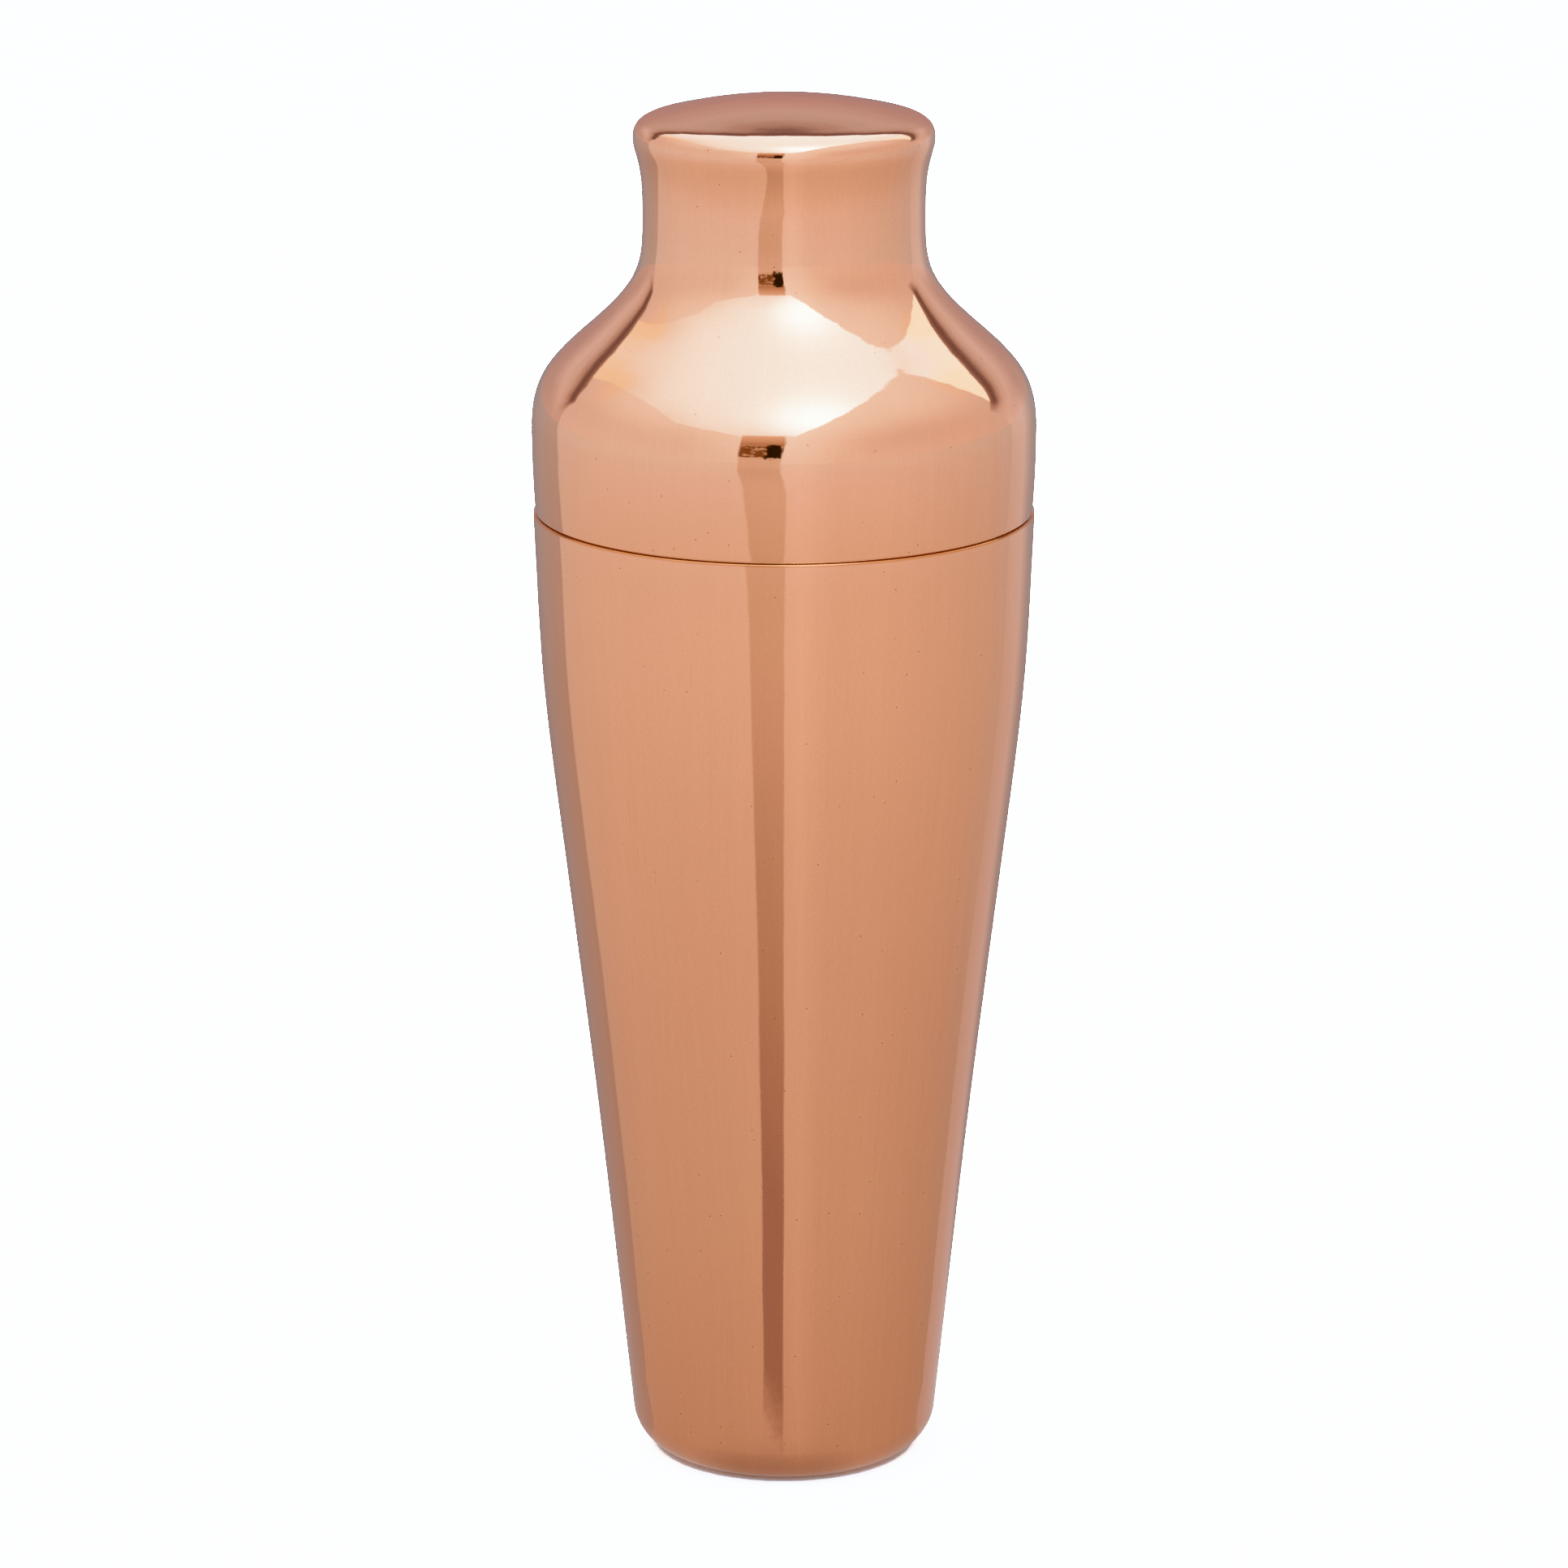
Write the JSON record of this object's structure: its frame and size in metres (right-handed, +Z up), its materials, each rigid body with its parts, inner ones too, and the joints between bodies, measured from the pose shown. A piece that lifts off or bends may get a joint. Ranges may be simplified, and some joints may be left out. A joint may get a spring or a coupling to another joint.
{
  "type": "cocktail shaker",
  "caption": "Tall tapered copper-plated cocktail shaker tin, closed by a hollow domed cap with a waisted neck that slips into its mouth and lifts off.",
  "frame": {"origin": "centre of the foot, on the surface that the shaker stands on", "axes": "+Z up along the axis of revolution, from the foot to the domed top; X and Y are interchangeable"},
  "size_m": [0.09, 0.09, 0.25],
  "materials": {
    "copper_plate": "polished"
  },
  "bodies": {
    "tin": {"tin": "copper_plate"},
    "cap": {"cap": "copper_plate"}
  },
  "joints": [
    {"name": "cap_lift", "type": "slide", "parent": "tin", "child": "cap", "axis": [0, 0, 1], "range_m": [0, 0.1]}
  ]
}
